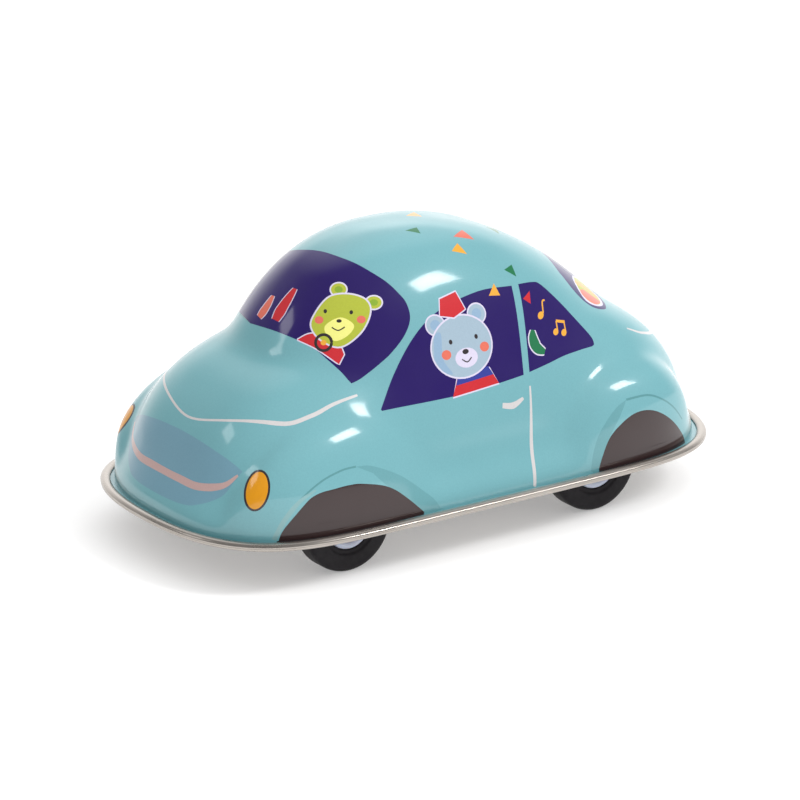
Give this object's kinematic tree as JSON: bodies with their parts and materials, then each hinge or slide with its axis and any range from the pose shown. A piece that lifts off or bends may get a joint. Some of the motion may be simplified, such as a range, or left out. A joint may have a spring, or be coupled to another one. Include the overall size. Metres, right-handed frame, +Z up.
{
  "type": "wind-up tin toy car",
  "caption": "Pressed tin toy saloon car with a rolled seam bead, rubber-tyred wheels and a key-wound spring motor under a printed shell.",
  "frame": {"origin": "on the ground under the middle of the part's own bounding box, key included; the car's centre plane is at x = +6.85 mm because the key stands out on the right side only", "axes": "+Z up, -Y to the car's front, +X to the car's left side"},
  "size_m": [0.0728, 0.1098, 0.0531],
  "materials": {
    "printed_tin": "glossy lithographed print",
    "bare_tin": "bright tinplate",
    "steel": "drawn wire, satin",
    "spring_steel": "blued, oiled",
    "brass": "satin",
    "tyre_rubber": "matte",
    "hub_plastic": "satin",
    "key_steel": "nickel plated"
  },
  "bodies": {
    "chassis": {"body_shell": "printed_tin", "base_plate": "bare_tin", "front_bracket_left": "bare_tin", "front_bracket_right": "bare_tin", "motor_frame_left": "bare_tin", "motor_frame_right": "bare_tin", "frame_pillar_1": "steel", "frame_pillar_2": "steel", "frame_pillar_3": "steel", "frame_pillar_4": "steel", "motor_rivet_1": "steel", "motor_rivet_2": "steel", "motor_rivet_3": "steel", "motor_rivet_4": "steel", "bracket_rivet_1": "steel", "bracket_rivet_2": "steel", "mainspring": "spring_steel"},
    "rear_wheels": {"rear_axle": "steel", "rear_left_tyre": "tyre_rubber", "rear_left_hub": "hub_plastic", "rear_right_tyre": "tyre_rubber", "rear_right_hub": "hub_plastic", "rear_pinion": "brass"},
    "front_wheels": {"front_axle": "steel", "front_left_tyre": "tyre_rubber", "front_left_hub": "hub_plastic", "front_right_tyre": "tyre_rubber", "front_right_hub": "hub_plastic"},
    "second_gear": {"second_arbor": "steel", "second_pinion": "brass", "second_wheel": "brass"},
    "great_gear": {"great_wheel": "brass"},
    "winder": {"winding_arbor": "steel", "clutch_spring": "spring_steel", "winding_key": "key_steel"},
    "governor": {"flywheel_arbor": "steel", "flywheel_pinion": "brass", "flywheel": "brass"}
  },
  "joints": [
    {"name": "rear_axle_spin", "type": "hinge", "parent": "chassis", "child": "rear_wheels", "pos_m": [0.00685, 0.0256, 0.0085], "axis": [1, 0, 0], "continuous": true},
    {"name": "front_axle_spin", "type": "hinge", "parent": "chassis", "child": "front_wheels", "pos_m": [0.00685, -0.0264, 0.0085], "axis": [1, 0, 0], "continuous": true},
    {"name": "second_arbor_spin", "type": "hinge", "parent": "chassis", "child": "second_gear", "pos_m": [0.00685, 0.01899, 0.01852], "axis": [1, 0, 0], "continuous": true},
    {"name": "great_wheel_spin", "type": "hinge", "parent": "chassis", "child": "great_gear", "pos_m": [0.00685, 0.0057, 0.02221], "axis": [1, 0, 0], "continuous": true},
    {"name": "flywheel_spin", "type": "hinge", "parent": "chassis", "child": "governor", "pos_m": [0.00685, 0.026, 0.02751], "axis": [1, 0, 0], "continuous": true},
    {"name": "key_wind", "type": "hinge", "parent": "great_gear", "child": "winder", "pos_m": [0.00685, 0.0057, 0.02221], "axis": [-1, 0, 0], "range_deg": [0, 1440]}
  ],
  "couplings": [
    {"joint": "second_arbor_spin", "follows": "rear_axle_spin", "ratio": -0.33333},
    {"joint": "great_wheel_spin", "follows": "rear_axle_spin", "ratio": 0.092593},
    {"joint": "flywheel_spin", "follows": "rear_axle_spin", "ratio": 1.25}
  ]
}
